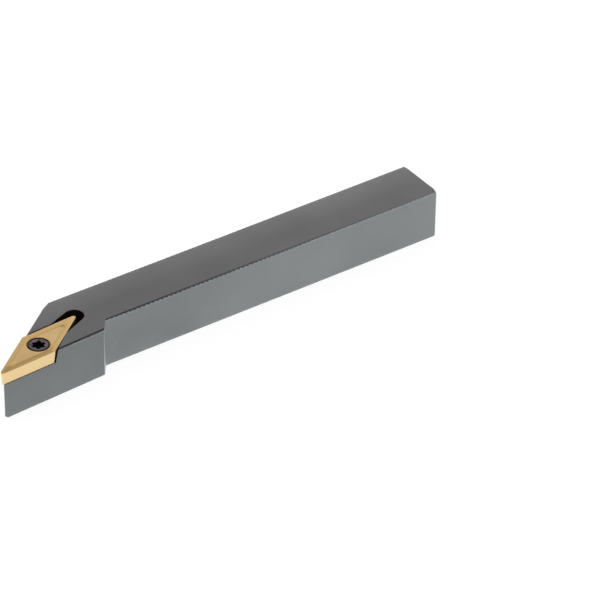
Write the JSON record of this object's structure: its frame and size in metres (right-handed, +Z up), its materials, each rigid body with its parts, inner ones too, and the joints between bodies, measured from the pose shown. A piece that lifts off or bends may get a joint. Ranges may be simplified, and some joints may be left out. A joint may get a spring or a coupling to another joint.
{
  "type": "turning tool holder",
  "caption": "Right-hand turning tool holder: square steel shank, slanted head and a rhombic insert held in its pocket by a countersunk screw.",
  "frame": {"origin": "centre of the shank's underside, midway along the overall length", "axes": "+X along the shank away from the cutting nose, +Y to the shank's back side, +Z up, the way the insert's top faces"},
  "size_m": [0.0888, 0.0127, 0.0095],
  "materials": {
    "blackened_steel": "satin",
    "gold_coating": "satin",
    "dark_steel": "satin"
  },
  "bodies": {
    "holder": {"holder": "blackened_steel"},
    "insert": {"cutting_insert": "gold_coating"},
    "screw": {"clamp_screw": "dark_steel"}
  },
  "joints": [
    {"name": "screw_turn", "type": "hinge", "parent": "insert", "child": "screw", "pos_m": [-0.03541, -0.00431, 0.00694], "axis": [0, 0, 1], "range_deg": [0, 2880]},
    {"name": "insert_lift", "type": "slide", "parent": "holder", "child": "insert", "axis": [0, 0, 1], "range_m": [0, 0.0036]}
  ],
  "couplings": [
    {"joint": "screw_turn", "follows": "insert_lift", "rad_per_m": 13963}
  ]
}
